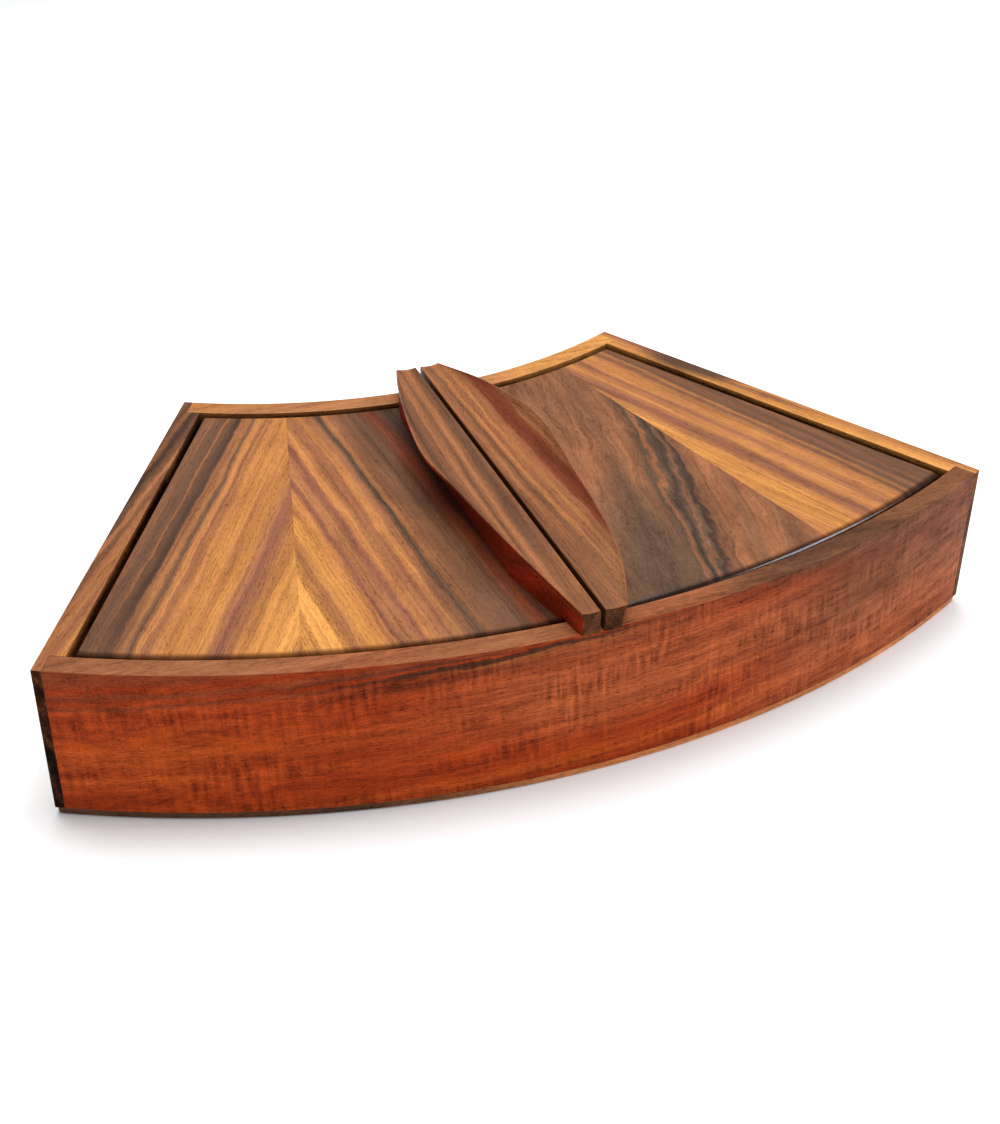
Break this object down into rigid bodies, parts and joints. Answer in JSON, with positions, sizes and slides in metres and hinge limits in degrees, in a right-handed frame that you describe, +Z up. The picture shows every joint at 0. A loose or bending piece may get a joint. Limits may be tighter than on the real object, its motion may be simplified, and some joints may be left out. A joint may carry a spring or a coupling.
{
  "type": "lidded wooden case",
  "caption": "Fan-shaped hardwood case, a sector of a ring in plan, with paired lids on pivot pins that open from the centre by carved handles.",
  "frame": {"origin": "under the middle of the bounding box, on the surface the case stands on", "axes": "+X to the right along the width, +Y to the concave rear wall, +Z up; the convex front wall faces -Y"},
  "size_m": [0.5144, 0.2972, 0.1102],
  "materials": {
    "front_wall_wood": "satin oiled, red-brown",
    "rear_wall_wood": "satin oiled, golden brown",
    "side_wall_wood": "satin oiled, streaked brown",
    "base_wood": "satin oiled",
    "divider_wood": "satin oiled",
    "lid_outer_wood": "semi-gloss oiled, golden with dark streaks",
    "lid_inner_wood": "semi-gloss oiled, brown with dark streaks",
    "handle_wood": "satin oiled",
    "plug_wood": "dark stopping, end grain",
    "steel": "zinc-plated steel"
  },
  "bodies": {
    "case": {"front_wall": "front_wall_wood", "rear_wall": "rear_wall_wood", "left_wall": "side_wall_wood", "right_wall": "side_wall_wood", "base_board": "base_wood", "centre_divider": "divider_wood", "base_screw_1": "steel", "base_screw_2": "steel", "base_screw_3": "steel", "base_screw_4": "steel", "base_screw_5": "steel", "base_screw_6": "steel", "base_screw_7": "steel", "base_screw_8": "steel", "base_screw_9": "steel", "base_screw_10": "steel", "base_screw_11": "steel", "base_screw_12": "steel", "base_screw_13": "steel", "left_rear_pivot_pin": "steel", "left_front_pivot_pin": "steel", "right_rear_pivot_pin": "steel", "right_front_pivot_pin": "steel", "left_rear_pin_plug": "plug_wood", "left_front_pin_plug": "plug_wood", "right_rear_pin_plug": "plug_wood", "right_front_pin_plug": "plug_wood"},
    "left_lid": {"left_lid_outer_board": "lid_outer_wood", "left_lid_inner_board": "lid_inner_wood", "left_handle": "handle_wood", "left_handle_screw_rear": "steel", "left_handle_screw_middle": "steel", "left_handle_screw_front": "steel"},
    "right_lid": {"right_lid_outer_board": "lid_outer_wood", "right_lid_inner_board": "lid_inner_wood", "right_handle": "handle_wood", "right_handle_screw_rear": "steel", "right_handle_screw_middle": "steel", "right_handle_screw_front": "steel"}
  },
  "joints": [
    {"name": "left_lid_hinge", "type": "hinge", "parent": "case", "child": "left_lid", "pos_m": [-0.16963, 0.02932, 0.0784], "axis": [-0.4676, -0.8839, 0], "range_deg": [0, 114]},
    {"name": "right_lid_hinge", "type": "hinge", "parent": "case", "child": "right_lid", "pos_m": [0.16963, 0.02932, 0.0784], "axis": [-0.4676, 0.8839, 0], "range_deg": [0, 114]}
  ]
}
